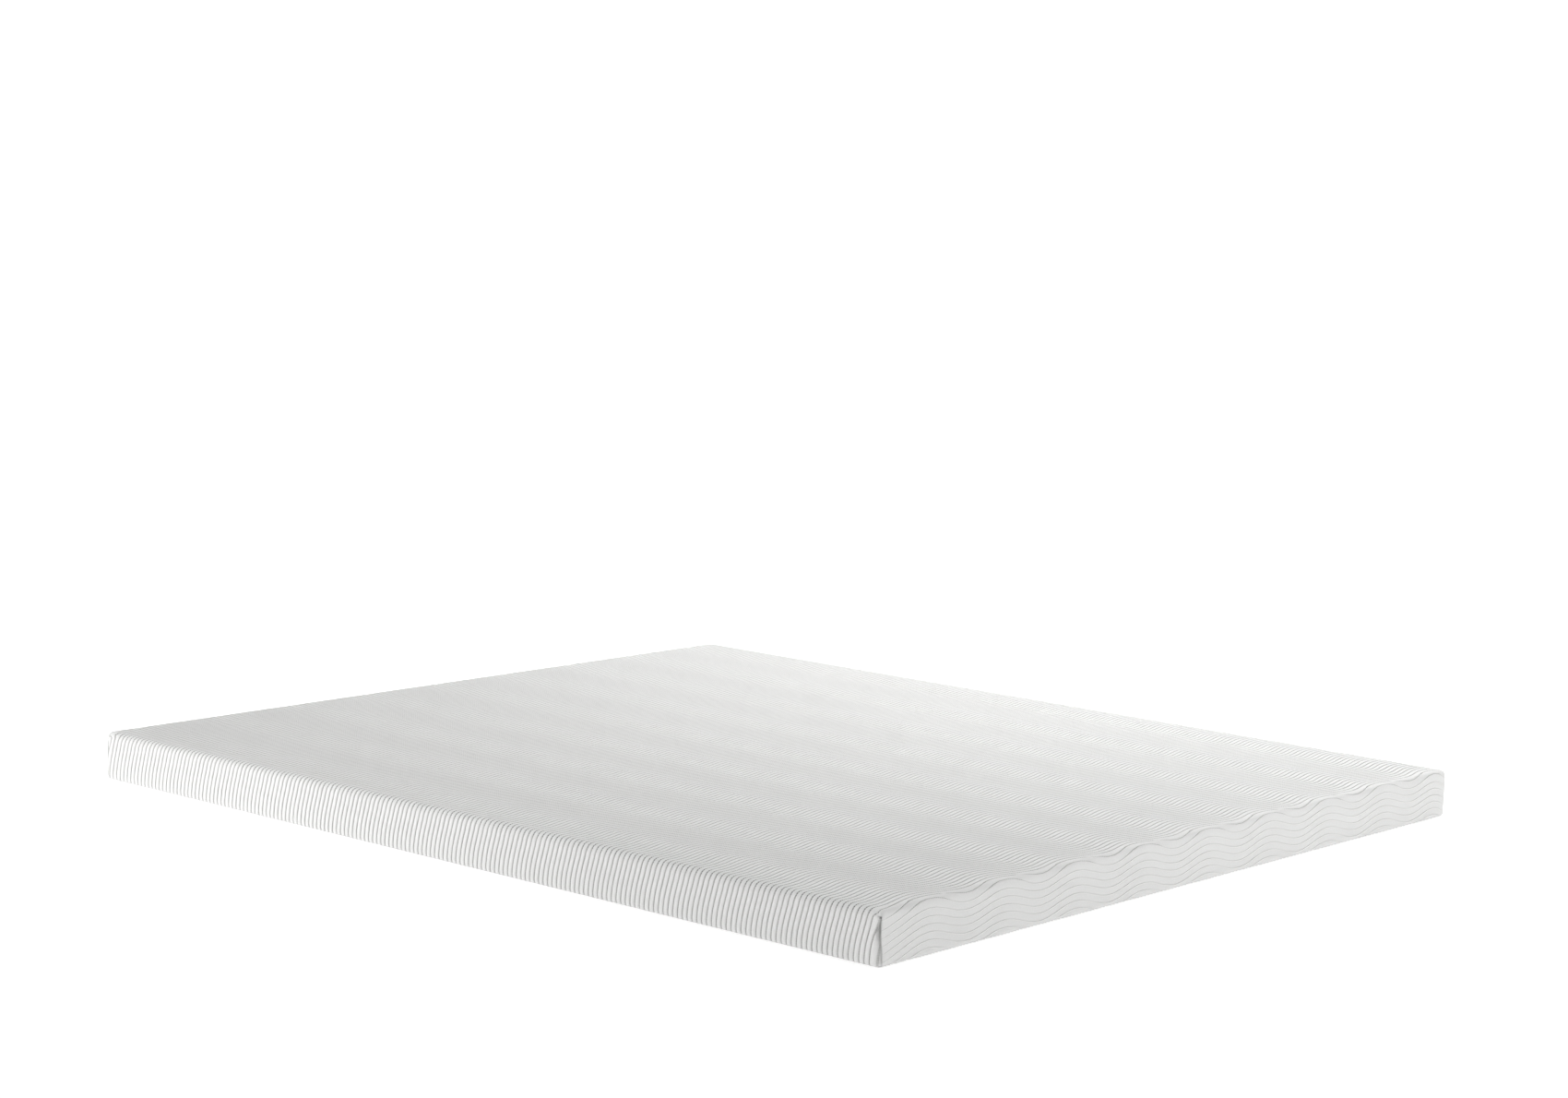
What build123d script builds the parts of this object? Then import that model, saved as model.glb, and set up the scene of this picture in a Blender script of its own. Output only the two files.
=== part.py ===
"""Memory foam mattress: two bonded foam layers in a liner, inside a zipped cover of wavy ribbed knit.

Millimetres, +Z up. X runs across the bed, Y from the foot end (-Y) to the head end (+Y).
The origin is on the floor, under the middle of the mattress.
"""

import math
import os

from build123d import *

# Whole mattress
WIDTH = 1800.0
LENGTH = 2000.0
HEIGHT = 96.0

# Ribs of the knit: across the width on top, down the long sides, level along the two ends
RIB_RISE = 2.0
RIB_VALLEY = 0.3
RIB_ROOT = 1.0
RIB_PITCH = 11.1
WAVE_LENGTH = 209.0
WAVE_SWING = 9.5
WAVE_CREST_X = -770.0
END_STRETCH = 1.2
SPANS_PER_WAVE = 4

# Cover cloth
CLOTH = 4.0
BASE_CLOTH = 2.0
EDGE_ROUND = 14.0
CORNER_ROUND = 15.0
UNDER_ROUND = 8.0
RETURN = 28.0
SEAM_GAP = 1.2
THREAD = 1.0

# Liner and foam layers
LINER = 1.0
MEMORY_FOAM = 38.0
BOND = 0.5
ZIP_SPACE = 7.3

# Zip across the head end
ZIP_Z = 28.5
SLOT_LENGTH = 1740.0
SLOT_HALF = 8.5
HEM_FOLD = 16.0
TAPE = 1.0
TAPE_WIDTH = 17.5
TAPE_GAP = 1.0
TAPE_OVERRUN = 4.0
CHAIN_HALF = 838.0
CHAIN_WIDTH = 3.0
CHAIN_RISE = 2.2
STOP_LENGTH = 2.8
PATCH_LENGTH = 22.0
PATCH = 1.2
STITCH_INSET = 4.0

# Zip slider and its pull
SLIDER_LENGTH = 12.0
SLIDER_WIDTH = 10.0
SLIDER_PLATE = 1.4
SLIDER_CLEAR = 0.4
SLIDER_REST_X = -836.0
BRIDGE_LENGTH = 3.5
BRIDGE_WIDTH = 1.4
FLANGE = 0.8
BAIL_INNER = 1.1
BAIL_OUTER = 2.5
BAIL_WIDTH = 3.0
PIN_RADIUS = 0.8
PIN_LIFT = 0.2
PULL_LENGTH = 28.0
PULL_WIDTH = 7.0
PULL_PLATE = 1.4
PULL_WINDOW = 4.4
PULL_ARM = 5.2

# Corner seams
CORNER_GROOVE = 1.1
STITCH_RADIUS = 0.55
STITCH_LENGTH = 3.2
STITCH_PITCH = 4.2

# Faces of the cover behind its ribs, and of the hollow inside it
SIDE_X = WIDTH / 2 - RIB_RISE
END_Y = LENGTH / 2 - RIB_RISE
TOP_Z = HEIGHT - RIB_RISE
HOLLOW_X = SIDE_X - CLOTH
HOLLOW_Y = END_Y - CLOTH
HOLLOW_TOP = TOP_Z - CLOTH

# Ribbed bands on the flat of the top and of each side and end
RIB_FOOT = UNDER_ROUND
RIB_HEAD = TOP_Z - EDGE_ROUND
RIB_MIDDLE = (RIB_FOOT + RIB_HEAD) / 2
FLAT_X = SIDE_X - CORNER_ROUND
FLAT_Y = END_Y - CORNER_ROUND
HEAD_RIB_FOOT = ZIP_Z + SLOT_HALF + 2 * STITCH_INSET

# Core inside the liner; the head end stops short to leave room behind the zip
LINER_FOOT = BASE_CLOTH
CORE_FLOOR = LINER_FOOT + LINER
CORE_TOP = HOLLOW_TOP - LINER
CORE_FRONT = -HOLLOW_Y + LINER
CORE_BACK = HOLLOW_Y - ZIP_SPACE - LINER
CORE_HALF_X = HOLLOW_X - LINER
MEMORY_FLOOR = CORE_TOP - MEMORY_FOAM
BASE_FOAM_TOP = MEMORY_FLOOR - BOND

# Layers of the zip, counted inwards from the cover's inner face at the head end
HEM_Y = HOLLOW_Y - CLOTH
TAPE_Y = HEM_Y - TAPE
CHAIN_Y = HEM_Y + CHAIN_RISE
OUTER_PLATE_Y = CHAIN_Y + SLIDER_CLEAR
INNER_PLATE_Y = TAPE_Y - SLIDER_CLEAR
PIN_Y = OUTER_PLATE_Y + SLIDER_PLATE + PIN_LIFT + PIN_RADIUS

LOW = (Align.MIN, Align.MIN, Align.MIN)


def span_box(low, high, mode=Mode.ADD):
    """A box between two corners."""
    size = [b - a for a, b in zip(low, high)]
    with Locations(low):
        return Box(*size, align=LOW, mode=mode)


def rounded_slab(half_x, front, back, floor, top, corner, crown=0.0):
    """A slab with rounded corners and, where crown is given, a rounded top edge."""
    with BuildPart() as slab:
        span_box((-half_x, front, floor), (half_x, back, top))
        fillet(slab.edges().filter_by(Axis.Z), corner)
        if crown:
            fillet(slab.faces().sort_by(Axis.Z)[-1].edges(), crown)
    return slab.part


def rib_row(plane, run, step):
    """Section across a row of ribs, centred on its plane, whose Y points out of the cloth."""
    count = math.ceil(run / step)
    low = -count * step / 2
    with BuildSketch(plane) as row:
        with BuildLine():
            for n in range(count):
                foot = low + n * step
                ThreePointArc(
                    (foot, RIB_VALLEY), (foot + step / 2, RIB_RISE), (foot + step, RIB_VALLEY)
                )
            Polyline(
                (-low, RIB_VALLEY), (-low, -RIB_ROOT), (low, -RIB_ROOT), (low, RIB_VALLEY)
            )
        make_face()
    return row.sketch.faces()[0]


def wavy_ribs(row, swing, low, high):
    """Ribs that swing to and fro as they run across the width, trimmed to a box.

    They are lofted through copies of one row, a fraction of a wave apart.
    """
    spans = round(2 * FLAT_X / WAVE_LENGTH * SPANS_PER_WAVE)
    cuts = []
    for n in range(spans + 1):
        x = FLAT_X * (2 * n / spans - 1)
        sway = swing * math.cos(2 * math.pi * (x - WAVE_CREST_X) / WAVE_LENGTH)
        cuts.append(row.moved(Location(Vector(x, 0, 0) + sway)))
    with BuildPart() as ribs:
        loft(sections=cuts)
        span_box(low, high, mode=Mode.INTERSECT)
    return ribs.part


def top_ribs():
    """Wavy ribs on the flat of the top."""
    plane = Plane((0, 0, TOP_Z), x_dir=(0, 1, 0), z_dir=(1, 0, 0))
    row = rib_row(plane, 2 * (FLAT_Y + WAVE_SWING), RIB_PITCH)
    swing = Vector(0, WAVE_SWING, 0)
    return wavy_ribs(row, swing, (-FLAT_X, -FLAT_Y, 0), (FLAT_X, FLAT_Y, HEIGHT))


def end_ribs(end, band_foot):
    """Wavy ribs along one end, stretched apart where the cloth is pulled down the side."""
    stretched_swing = WAVE_SWING * END_STRETCH
    plane = Plane((0, end * END_Y, RIB_MIDDLE), x_dir=(0, 0, 1), z_dir=(-end, 0, 0))
    run = RIB_HEAD - RIB_FOOT + 2 * stretched_swing
    row = rib_row(plane, run, RIB_PITCH * END_STRETCH)
    swing = Vector(0, 0, -end * stretched_swing)
    low = (-FLAT_X, -LENGTH / 2, band_foot)
    return wavy_ribs(row, swing, low, (FLAT_X, LENGTH / 2, RIB_HEAD))


def side_ribs(side):
    """Upright ribs along one long side, rooted in the side's flat face."""
    step = 2 * FLAT_Y / round(2 * FLAT_Y / RIB_PITCH)
    plane = Plane((side * SIDE_X, 0, RIB_FOOT), x_dir=(0, 1, 0), z_dir=(0, 0, -side))
    with BuildPart() as ribs:
        extrude(rib_row(plane, 2 * FLAT_Y, step), RIB_HEAD - RIB_FOOT, dir=(0, 0, 1))
    return ribs.part


def corner_points(reach):
    """The four corners, each a given reach out along its own diagonal from the corner's centre."""
    out = reach / math.sqrt(2)
    x = SIDE_X - CORNER_ROUND + out
    y = END_Y - CORNER_ROUND + out
    return {
        "front_left": (-x, -y),
        "front_right": (x, -y),
        "back_left": (-x, y),
        "back_right": (x, y),
    }


def save(name, part):
    """Label a finished piece and write it under its own name."""
    part.label = name
    export_step(part, f"parts/{name}.step")


os.makedirs("parts", exist_ok=True)

# Hollow of the cover
hollow = rounded_slab(
    HOLLOW_X, -HOLLOW_Y, HOLLOW_Y, BASE_CLOTH, HOLLOW_TOP, CORNER_ROUND - CLOTH, EDGE_ROUND - CLOTH
)

# Ribbed cover: top, four sides and a narrow return under the edge, in one piece
ribs_all_round = [
    top_ribs(),
    side_ribs(-1),
    side_ribs(1),
    end_ribs(-1, RIB_FOOT),
    end_ribs(1, HEAD_RIB_FOOT),
]
with BuildPart() as cover_top:
    span_box((-SIDE_X, -END_Y, 0), (SIDE_X, END_Y, TOP_Z))
    fillet(cover_top.edges().filter_by(Axis.Z), CORNER_ROUND)
    fillet(cover_top.faces().sort_by(Axis.Z)[-1].edges(), EDGE_ROUND)
    fillet(cover_top.faces().sort_by(Axis.Z)[0].edges(), UNDER_ROUND)
    add(ribs_all_round)
    add(hollow, mode=Mode.SUBTRACT)
    span_box(
        (RETURN - SIDE_X, RETURN - END_Y, 0),
        (SIDE_X - RETURN, END_Y - RETURN, BASE_CLOTH),
        mode=Mode.SUBTRACT,
    )
    # Hems folded in above and below the zip
    span_box(
        (-SLOT_LENGTH / 2, HEM_Y, ZIP_Z - SLOT_HALF - HEM_FOLD),
        (SLOT_LENGTH / 2, HOLLOW_Y, ZIP_Z + SLOT_HALF + HEM_FOLD),
    )
    span_box(
        (-SLOT_LENGTH / 2, HEM_Y, ZIP_Z - SLOT_HALF),
        (SLOT_LENGTH / 2, LENGTH / 2, ZIP_Z + SLOT_HALF),
        mode=Mode.SUBTRACT,
    )
    # Grooves that the corner seams are drawn into
    with Locations(*[(x, y, RIB_FOOT) for x, y in corner_points(CORNER_ROUND).values()]):
        Cylinder(
            CORNER_GROOVE,
            RIB_HEAD - RIB_FOOT,
            align=(Align.CENTER, Align.CENTER, Align.MIN),
            mode=Mode.SUBTRACT,
        )
save("cover_top", cover_top.part)

# Plain base panel
with BuildPart() as cover_base:
    panel_x = SIDE_X - RETURN - SEAM_GAP
    panel_y = END_Y - RETURN - SEAM_GAP
    span_box((-panel_x, -panel_y, 0), (panel_x, panel_y, BASE_CLOTH))
save("cover_base", cover_base.part)

# Overlock thread in the gap between the base panel and the cover's return
with BuildPart() as base_seam:
    thread_floor = (BASE_CLOTH - THREAD) / 2
    span_box(
        (-panel_x - SEAM_GAP, -panel_y - SEAM_GAP, thread_floor),
        (panel_x + SEAM_GAP, panel_y + SEAM_GAP, thread_floor + THREAD),
    )
    span_box(
        (-panel_x, -panel_y, thread_floor),
        (panel_x, panel_y, thread_floor + THREAD),
        mode=Mode.SUBTRACT,
    )
save("base_seam_thread", base_seam.part)

# Stitches down each corner seam
stitch_count = int((RIB_HEAD - RIB_FOOT) / STITCH_PITCH)
for corner, (x, y) in corner_points(CORNER_ROUND - CORNER_GROOVE / 2).items():
    with BuildPart() as seam:
        for n in range(stitch_count):
            z = RIB_FOOT + (n + 0.5) * STITCH_PITCH
            with Locations((x, y, z)):
                Cylinder(STITCH_RADIUS, STITCH_LENGTH)
    save(f"corner_seam_{corner}", seam.part)

# Liner: a cap over the core and a panel under it, sewn together round the bottom
liner_corner = CORNER_ROUND - CLOTH
liner_edge = EDGE_ROUND - CLOTH
core_corner = liner_corner - LINER
core_edge = liner_edge - LINER
core_space = rounded_slab(
    CORE_HALF_X, CORE_FRONT, CORE_BACK, CORE_FLOOR, CORE_TOP, core_corner, core_edge
)
with BuildPart() as liner_upper:
    add(
        rounded_slab(
            HOLLOW_X,
            CORE_FRONT - LINER,
            CORE_BACK + LINER,
            CORE_FLOOR,
            HOLLOW_TOP,
            liner_corner,
            liner_edge,
        )
    )
    add(core_space, mode=Mode.SUBTRACT)
save("liner_upper", liner_upper.part)

with BuildPart() as liner_lower:
    add(
        rounded_slab(
            HOLLOW_X, CORE_FRONT - LINER, CORE_BACK + LINER, LINER_FOOT, CORE_FLOOR, liner_corner
        )
    )
save("liner_lower", liner_lower.part)

# Foam core: support foam below, memory foam above, and the film of glue between them
with BuildPart() as base_foam:
    add(
        rounded_slab(
            CORE_HALF_X, CORE_FRONT, CORE_BACK, CORE_FLOOR, BASE_FOAM_TOP, core_corner
        )
    )
save("base_foam", base_foam.part)

with BuildPart() as bond_film:
    add(
        rounded_slab(
            CORE_HALF_X, CORE_FRONT, CORE_BACK, BASE_FOAM_TOP, MEMORY_FLOOR, core_corner
        )
    )
save("bond_film", bond_film.part)

with BuildPart() as memory_foam:
    add(
        rounded_slab(
            CORE_HALF_X, CORE_FRONT, CORE_BACK, MEMORY_FLOOR, CORE_TOP, core_corner, core_edge
        )
    )
save("memory_foam", memory_foam.part)

# Zip tapes and the two halves of the closed chain, above and below the zip's line
tape_half = SLOT_LENGTH / 2 + TAPE_OVERRUN
for name, up in (("upper", 1), ("lower", -1)):
    with BuildPart() as tape:
        edges = sorted((ZIP_Z + up * TAPE_GAP, ZIP_Z + up * (TAPE_GAP + TAPE_WIDTH)))
        span_box((-tape_half, TAPE_Y, edges[0]), (tape_half, HEM_Y, edges[1]))
    save(f"zip_tape_{name}", tape.part)

    with BuildPart() as chain:
        edges = sorted((ZIP_Z, ZIP_Z + up * CHAIN_WIDTH))
        span_box((-CHAIN_HALF, HEM_Y, edges[0]), (CHAIN_HALF, CHAIN_Y, edges[1]))
    save(f"zip_chain_{name}", chain.part)

    with BuildPart() as stitching:
        row = ZIP_Z + up * (SLOT_HALF + STITCH_INSET)
        span_box(
            (-SLOT_LENGTH / 2, END_Y, row - THREAD / 2),
            (SLOT_LENGTH / 2, END_Y + THREAD / 2, row + THREAD / 2),
        )
    save(f"zip_stitching_{name}", stitching.part)

# Stops at the two ends of the chain
slider_nose = SLIDER_REST_X - SLIDER_LENGTH / 2
with BuildPart() as top_stops:
    for up in (-1, 1):
        edges = sorted((ZIP_Z + up * TAPE_GAP, ZIP_Z + up * CHAIN_WIDTH))
        span_box(
            (slider_nose - SLIDER_CLEAR - STOP_LENGTH, HEM_Y, edges[0]),
            (slider_nose - SLIDER_CLEAR, CHAIN_Y, edges[1]),
        )
save("zip_top_stops", top_stops.part)

with BuildPart() as bottom_stop:
    span_box(
        (CHAIN_HALF, HEM_Y, ZIP_Z - CHAIN_WIDTH),
        (CHAIN_HALF + STOP_LENGTH, CHAIN_Y, ZIP_Z + CHAIN_WIDTH),
    )
save("zip_bottom_stop", bottom_stop.part)

# Cloth patches over the bare ends of the tapes
for name, end in (("left", -1), ("right", 1)):
    with BuildPart() as patch:
        span = sorted((end * SLOT_LENGTH / 2, end * (SLOT_LENGTH / 2 - PATCH_LENGTH)))
        span_box(
            (span[0], HEM_Y, ZIP_Z - SLOT_HALF),
            (span[1], HEM_Y + PATCH, ZIP_Z + SLOT_HALF),
        )
    save(f"zip_end_patch_{name}", patch.part)

# Slider: two plates joined by a bridge at the nose, flanges beside the chain, and a bail for the pull
slider_low = (SLIDER_REST_X - SLIDER_LENGTH / 2, ZIP_Z - SLIDER_WIDTH / 2)
slider_high = (SLIDER_REST_X + SLIDER_LENGTH / 2, ZIP_Z + SLIDER_WIDTH / 2)
outer_face = OUTER_PLATE_Y + SLIDER_PLATE
with BuildPart() as zip_slider:
    for plate_y in (OUTER_PLATE_Y, INNER_PLATE_Y - SLIDER_PLATE):
        span_box(
            (slider_low[0], plate_y, slider_low[1]),
            (slider_high[0], plate_y + SLIDER_PLATE, slider_high[1]),
        )
    fillet(zip_slider.edges().filter_by(Axis.Y), SLIDER_PLATE)
    span_box(
        (slider_nose, INNER_PLATE_Y, ZIP_Z - BRIDGE_WIDTH / 2),
        (slider_nose + BRIDGE_LENGTH, OUTER_PLATE_Y, ZIP_Z + BRIDGE_WIDTH / 2),
    )
    for edge in (slider_low[1], slider_high[1] - FLANGE):
        span_box(
            (slider_nose + SLIDER_PLATE, HEM_Y + SLIDER_CLEAR, edge),
            (slider_high[0] - SLIDER_PLATE, OUTER_PLATE_Y, edge + FLANGE),
        )
    with BuildSketch(Plane.XY.offset(ZIP_Z - BAIL_WIDTH / 2)):
        with Locations((SLIDER_REST_X, PIN_Y)):
            Circle(BAIL_OUTER)
            Circle(BAIL_INNER, mode=Mode.SUBTRACT)
            with Locations((0, outer_face - PIN_Y)):
                Rectangle(
                    2 * BAIL_OUTER,
                    2 * BAIL_OUTER,
                    align=(Align.CENTER, Align.MAX),
                    mode=Mode.SUBTRACT,
                )
    extrude(amount=BAIL_WIDTH)
save("zip_slider", zip_slider.part)

# Pull: a plate on two arms that end in the round pin under the bail
with BuildPart() as zip_pull:
    with BuildSketch(Plane.XZ.offset(-PIN_Y)):
        with Locations((SLIDER_REST_X, ZIP_Z)):
            Rectangle(PULL_LENGTH, PULL_WIDTH, align=(Align.MIN, Align.CENTER))
            Rectangle(
                PULL_ARM, PULL_WINDOW, align=(Align.MIN, Align.CENTER), mode=Mode.SUBTRACT
            )
    extrude(amount=PULL_PLATE / 2, both=True)
    fillet(zip_pull.edges().filter_by(Axis.Y).group_by(Axis.X)[-1], PULL_WIDTH / 3)
    with Locations((SLIDER_REST_X, PIN_Y, ZIP_Z)):
        Cylinder(PIN_RADIUS, PULL_WIDTH)
save("zip_pull", zip_pull.part)
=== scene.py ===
import math

import bpy
import numpy as np
from mathutils import Matrix, Vector


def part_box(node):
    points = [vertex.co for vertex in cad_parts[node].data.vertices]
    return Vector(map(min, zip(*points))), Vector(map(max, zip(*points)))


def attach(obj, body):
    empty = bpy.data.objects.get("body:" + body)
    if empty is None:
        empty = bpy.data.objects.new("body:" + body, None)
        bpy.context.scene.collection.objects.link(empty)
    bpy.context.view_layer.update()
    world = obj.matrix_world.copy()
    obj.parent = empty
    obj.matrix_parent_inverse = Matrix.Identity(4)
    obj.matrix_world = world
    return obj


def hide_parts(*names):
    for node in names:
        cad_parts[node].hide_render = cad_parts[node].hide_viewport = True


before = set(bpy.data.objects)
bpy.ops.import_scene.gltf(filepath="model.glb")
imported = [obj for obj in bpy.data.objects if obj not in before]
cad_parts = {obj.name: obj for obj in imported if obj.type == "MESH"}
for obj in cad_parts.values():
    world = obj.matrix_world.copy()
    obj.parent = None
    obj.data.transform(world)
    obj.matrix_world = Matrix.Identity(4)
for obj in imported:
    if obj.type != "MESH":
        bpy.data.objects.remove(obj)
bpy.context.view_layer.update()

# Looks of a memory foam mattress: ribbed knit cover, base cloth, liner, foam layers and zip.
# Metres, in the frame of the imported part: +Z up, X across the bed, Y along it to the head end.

BODY = "mattress"

QUARTER = math.pi / 2
EIGHTH = math.pi / 4

# Cover: the plain surface behind the ribs, with its turns over the edge and under the mattress
RISE = 0.002
_, cover_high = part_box("cover_top")
HALF_X = cover_high.x - RISE
HALF_Y = cover_high.y - RISE
TOP = cover_high.z - RISE
EDGE = 0.014
UNDER = 0.008
RETURN = 0.020
SIDE_RUN = TOP - EDGE - UNDER
FLOOR_GAP = 0.0006
FLOOR_PRESS = 0.95  # share of the relief that lies flat under the mattress
SQUARE = 0.85  # share of the round upright corners that is filled out
CRISP = 0.0022
CRISP_REACH = 0.0065

# Ribs: their pitch and wave, and the dip of the ends' ribs beside a corner
PITCH = 0.0111
WAVE = 0.204
SWING = 0.0093
CREST = -0.772
DIP = 0.0165
DIP_REACH = 0.028
DIP_START = 0.035
DIP_GROWTH = 0.040
STRETCH = 1.2  # of the ribs on the ends
GROOVE = 0.0018
LINE_TOP = 0.0015
LINE_END = 0.0009

# Rows of points over a rib, ribs short of the edge where the fine rows start, and columns
STEPS_TOP = (0.0, 0.1, 0.9)
STEPS_SIDE = (0.0, 0.1, 0.24, 0.76, 0.9)
STEPS_TURN = (0.0, 0.1, 0.24, 0.5, 0.76, 0.9)
TURN_RIBS = 3
COLUMNS_TOP = 46
SHARES_OVER = (0, 0.2, 0.36, 0.44, 0.5, 0.75, 1)
SHARES_DOWN = (1 / 6, 2 / 6, 3 / 6, 4 / 6, 5 / 6, 5.5 / 6, 1)
SHARES_UNDER = (2 / 6, 3 / 6, 4 / 6, 1)
SHARES_BACK = (1 / 2, 1)

# Corner seams: depth as amounts added from a height on over a rise, width of the tuck beside a
# side and of the lip beside an end, and lean of the front left seam and of the others
SEAM_CLEAR = 0.002
SEAM_DEPTHS = ((0.001, 0.0, SEAM_CLEAR), (0.003, 0.004, 0.012), (0.0055, 0.040, 0.020))
SEAM_WAY = (0.95, 0.31)
SEAM_FLAT = 0.003
TUCK_WIDE = 0.0058
TUCK_SLOPE = 0.005
TUCK_TOP = 0.088
TUCK_FADE = 0.018
LIP_WIDE = 0.0012
LEAN_NEAR = 0.007
LEAN_FAR = 0.001
LEAN_TOP = 0.060
LEAN_REACH_SIDE = 0.003
LEAN_REACH_END = 0.020

# Zip across the head end: half the slot's length, the zip's height, and its two hems, upper first
SLOT_X = 0.870
ZIP_Z = 0.0285
FOLD = 0.0038
FOLD_Z = (0.041, 0.016)
HEM_END_Z = (0.0525, 0.0045)
HEM_FADE = 0.005
SLOT_FADE = 0.012


def smooth(t):
    """Eased step from 0 to 1."""
    t = np.clip(t, 0.0, 1.0)
    return t * t * (3 - 2 * t)


# Meshes from arrays


def weld(points, quads):
    """Join points that share a place and drop those that no quad uses. Gives the points left,
    the quads on them, each old point's new number, or -1, and each new point's first old one."""
    keys = np.round(points * 1e6).astype(np.int64)
    _, first, same = np.unique(keys, axis=0, return_index=True, return_inverse=True)
    same = same.reshape(-1)
    used = np.zeros(len(first), bool)
    used[same[quads]] = True
    number = np.where(used, np.cumsum(used) - 1, -1)[same]
    return points[first[used]], number[quads], number, first[used]


def mesh_piece(name, points, quads, cloth=None, sharp=None, fold=None):
    """An object from welded quads. cloth gives each point's cloth coordinates, sharp the pairs of
    points with a crease between them, fold how far each point is in a fold."""
    spots, joined, same, first = weld(points, quads)
    ahead = np.roll(joined, -1, axis=1)
    keep = joined != ahead
    corners = keep.sum(axis=1)
    whole = corners == 4
    cut = corners == 3
    cut &= (joined[:, 0] != joined[:, 2]) & (joined[:, 1] != joined[:, 3])
    faces = [*joined[whole].tolist(), *joined[cut][keep[cut]].reshape(-1, 3).tolist()]
    mesh = bpy.data.meshes.new(name)
    mesh.from_pydata(spots.tolist(), [], faces)
    mesh.polygons.foreach_set("use_smooth", np.ones(len(faces), bool))
    if cloth is not None:
        source = np.concatenate([quads[whole].ravel(), quads[cut][keep[cut]].ravel()])
        layer = mesh.uv_layers.new(name="cloth")
        layer.data.foreach_set("uv", cloth[source].astype(np.float32).ravel())
    if sharp is not None:
        pairs = np.sort(same[sharp], axis=1)
        ends = np.zeros(len(mesh.edges) * 2, np.int32)
        mesh.edges.foreach_get("vertices", ends)
        ends = np.sort(ends.reshape(-1, 2), axis=1).astype(np.int64)
        count = len(spots)
        marked = np.isin(ends[:, 0] * count + ends[:, 1], pairs[:, 0] * count + pairs[:, 1])
        mesh.attributes.new("sharp_edge", "BOOLEAN", "EDGE").data.foreach_set("value", marked)
    if fold is not None:
        layer = mesh.attributes.new("fold", "FLOAT", "POINT")
        layer.data.foreach_set("value", fold[first].astype(np.float32))
    mesh.update()
    piece = bpy.data.objects.new(name, mesh)
    bpy.context.scene.collection.objects.link(piece)
    return piece


def grid_quads(rows, columns, start=0):
    """Corners of the cells of a grid of points, counted row by row."""
    n = np.arange(rows * columns).reshape(rows, columns) + start
    return np.stack([n[:-1, :-1], n[:-1, 1:], n[1:, 1:], n[1:, :-1]], axis=-1).reshape(-1, 4)


def tubes(paths, radii, sides, side_way):
    """Points and quads of one tube along each path. side_way is a direction across all of them."""
    paths = np.asarray(paths, float)
    count, rings = paths.shape[:2]
    along = np.gradient(paths, axis=1)
    along /= np.linalg.norm(along, axis=2, keepdims=True)
    across = np.cross(along, np.asarray(side_way, float))
    across /= np.linalg.norm(across, axis=2, keepdims=True)
    third = np.cross(along, across)
    turn = np.arange(sides) * 2 * math.pi / sides
    ring = (
        across[:, :, None, :] * np.cos(turn)[None, None, :, None]
        + third[:, :, None, :] * np.sin(turn)[None, None, :, None]
    )
    points = paths[:, :, None, :] + ring * np.asarray(radii)[None, :, None, None]
    n = np.arange(count * rings * sides).reshape(count, rings, sides)
    beside = np.roll(n, -1, axis=2)
    quads = np.stack([n[:, :-1], beside[:, :-1], beside[:, 1:], n[:, 1:]], axis=-1)
    return points.reshape(-1, 3), quads.reshape(-1, 4)


# Cover


def section(s, half):
    """Section of the cover at cloth distance s from the middle: turn over the edge, drop,
    turn under the bottom edge, and how far it has come back under."""
    past = s - (half - EDGE)
    over = np.clip(past / EDGE, 0, QUARTER)
    down = np.clip(past - EDGE * QUARTER, 0, SIDE_RUN)
    below = np.clip((past - EDGE * QUARTER - SIDE_RUN) / UNDER, 0, QUARTER)
    back = np.clip(past - (EDGE + UNDER) * QUARTER - SIDE_RUN, 0, RETURN)
    drop = EDGE * (1 - np.cos(over)) + down + UNDER * np.sin(below)
    return over, drop, below, back + UNDER * (1 - np.cos(below))


def place(sx, sy):
    """Points, outward normals, and how far onto the sides and ends, at cloth coordinates sx, sy."""
    ax, ay = np.abs(sx), np.abs(sy)
    over_x, drop_x, below_x, back_x = section(ax, HALF_X)
    over_y, drop_y, below_y, back_y = section(ay, HALF_Y)
    on_side = smooth((over_x - EIGHTH) / EIGHTH)
    on_end = smooth((over_y - EIGHTH) / EIGHTH)
    round_x = np.maximum(EDGE - back_x, 0)
    round_y = np.maximum(EDGE - back_y, 0)
    x = np.minimum(ax, HALF_X - np.maximum(EDGE, back_y)) + round_y * np.sin(over_x)
    y = np.minimum(ay, HALF_Y - np.maximum(EDGE, back_x)) + round_x * np.sin(over_y)
    x -= back_x + on_side * round_x * (1 - np.cos(over_y))
    y -= back_y + on_end * round_y * (1 - np.cos(over_x))
    z = TOP - drop_x * (1 - on_end) - drop_y * (1 - on_side)
    point = np.stack([x, y, z], axis=-1)
    core = np.array([HALF_X - EDGE, HALF_Y - EDGE, TOP - EDGE])
    out = np.maximum(point - core, 0)
    length = np.linalg.norm(out, axis=-1, keepdims=True)
    normal = out / np.maximum(length, 1e-9)
    upper = (below_x + below_y == 0)[..., None]
    point = np.where(upper, np.minimum(point, core) + EDGE * normal, point)
    lean = np.maximum(below_x, below_y)
    level = np.stack(
        [
            np.where(below_x > 0, np.cos(over_y), np.sin(over_x)),
            np.where(below_x > 0, np.sin(over_y), np.cos(over_x)),
        ],
        axis=-1,
    )
    under = np.concatenate([level * np.cos(lean)[..., None], -np.sin(lean)[..., None]], axis=-1)
    normal = np.where(upper, normal, under)
    way = np.stack([np.sign(sx), np.sign(sy), np.ones_like(sx)], axis=-1)
    way[way == 0] = 1
    return point * way, normal * way, on_side, on_end


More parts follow.
